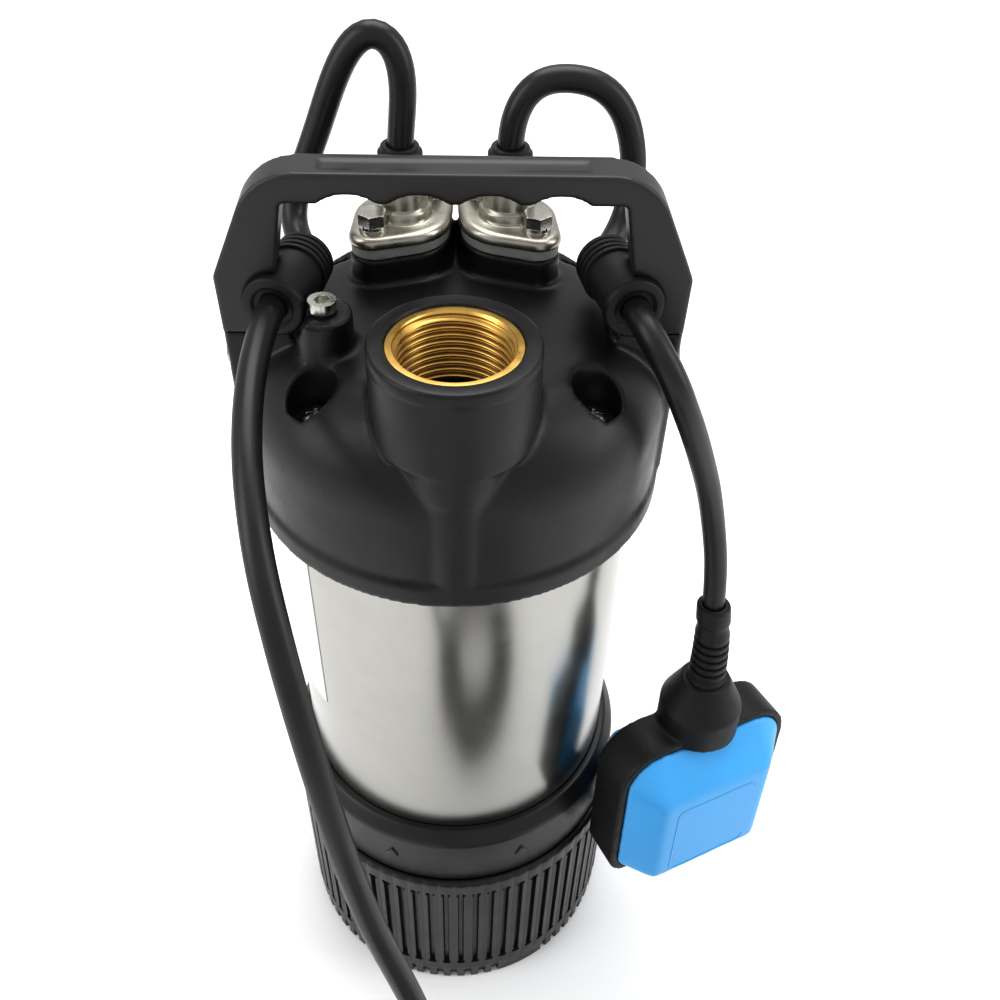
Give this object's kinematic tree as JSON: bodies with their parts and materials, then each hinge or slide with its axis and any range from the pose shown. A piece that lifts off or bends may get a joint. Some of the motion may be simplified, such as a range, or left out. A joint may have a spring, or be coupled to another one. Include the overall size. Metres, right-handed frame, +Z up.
{
  "type": "submersible sump pump",
  "caption": "Upright submersible pump with a steel casing, slotted base, carrying handle, top outlet, float switch and a coiled mains cable with plug.",
  "frame": {"origin": "centre of the strainer's flat underside, on the pump's axis, where the pump stands", "axes": "+Z up along the pump's axis and the outlet; -Y towards the outlet and the front; +X towards the float switch"},
  "size_m": [0.2127, 0.4127, 0.3884],
  "materials": {
    "head_plastic": "glass-filled black plastic, fine moulded grain, satin",
    "ring_plastic": "soft black plastic, satin",
    "strainer_plastic": "moulded black plastic, satin",
    "handle_plastic": "moulded black plastic, satin",
    "thread_brass": "turned brass",
    "fastener_steel": "zinc plated steel, bright",
    "pressed_stainless": "pressed stainless sheet",
    "black_rubber": "moulded rubber, matt",
    "grey_gasket": "grey gasket rubber, matt",
    "casing_steel": "rolled stainless sheet, fine drawn lines",
    "label_film": "blank white film",
    "stage_plastic": "moulded grey plastic",
    "impeller_plastic": "moulded blue-grey plastic",
    "seal_ceramic": "ground ceramic",
    "seal_carbon": "carbon face, matt",
    "cast_aluminium": "die-cast aluminium",
    "motor_steel": "drawn steel tube",
    "core_steel": "stacked electrical steel",
    "winding_copper": "enamelled copper wire",
    "bearing_steel": "ground bearing steel",
    "capacitor_can": "drawn aluminium can",
    "cream_plastic": "moulded cream plastic",
    "shaft_steel": "ground stainless bar",
    "float_black": "moulded black plastic, satin",
    "float_blue": "moulded light blue plastic, semi-gloss",
    "ball_steel": "polished steel ball",
    "cable_rubber": "extruded black rubber, satin",
    "plug_rubber": "moulded black plug, satin",
    "pin_brass": "nickel washed brass"
  },
  "bodies": {
    "pump": {"pump_head": "head_plastic", "outlet_insert": "thread_brass", "vent_screw": "fastener_steel", "vent_washer": "black_rubber", "tie_screws": "fastener_steel", "tie_screw_washers": "fastener_steel", "gland_gaskets": "grey_gasket", "gland_flanges": "pressed_stainless", "gland_sleeve_left": "black_rubber", "gland_sleeve_right": "black_rubber", "gland_bolts": "fastener_steel", "gland_spring_washers": "fastener_steel", "gland_flat_washers": "fastener_steel", "handle": "handle_plastic", "handle_screws": "fastener_steel", "cable_grommet_left": "black_rubber", "cable_grommet_right": "black_rubber", "outer_casing": "casing_steel", "label_plate": "label_film", "casing_seals": "black_rubber", "base_ring": "ring_plastic", "strainer": "strainer_plastic", "suction_cover": "stage_plastic", "diffuser_1": "stage_plastic", "diffuser_2": "stage_plastic", "diffuser_3": "stage_plastic", "diffuser_4": "stage_plastic", "discharge_body": "stage_plastic", "seal_seat": "seal_ceramic", "lower_bracket": "cast_aluminium", "upper_bracket": "cast_aluminium", "motor_shell": "motor_steel", "stator_core": "core_steel", "stator_windings": "winding_copper", "bearing_outer_rings": "bearing_steel", "capacitor": "capacitor_can", "thermal_protector": "stage_plastic", "terminal_block": "cream_plastic", "float_lead_loop": "cable_rubber", "mains_lead": "cable_rubber", "mains_coil": "cable_rubber", "plug_body": "plug_rubber", "plug_pins": "pin_brass"},
    "rotor": {"shaft": "shaft_steel", "shaft_nut": "fastener_steel", "impeller_1": "impeller_plastic", "impeller_2": "impeller_plastic", "impeller_3": "impeller_plastic", "impeller_4": "impeller_plastic", "seal_ring": "seal_carbon", "rotor_core": "core_steel", "bearing_inner_rings": "bearing_steel", "bearing_balls": "bearing_steel"},
    "float": {"float_frame": "float_black", "float_face_front": "float_blue", "float_face_back": "float_blue", "float_neck": "black_rubber", "float_switch": "stage_plastic", "float_lead_tail": "cable_rubber"},
    "float_ball": {"float_ball": "ball_steel"}
  },
  "joints": [
    {"name": "rotor_spin", "type": "hinge", "parent": "pump", "child": "rotor", "pos_m": [0, 0, 0.2], "axis": [0, 0, 1], "continuous": true},
    {"name": "float_swing", "type": "hinge", "parent": "pump", "child": "float", "pos_m": [0.0509, -0.0199, 0.327], "axis": [0.225, -0.9744, 0], "range_deg": [0, 150]},
    {"name": "ball_roll", "type": "slide", "parent": "float", "child": "float_ball", "axis": [0, 0.0802, 0.9968], "range_m": [0, 0.016]}
  ]
}
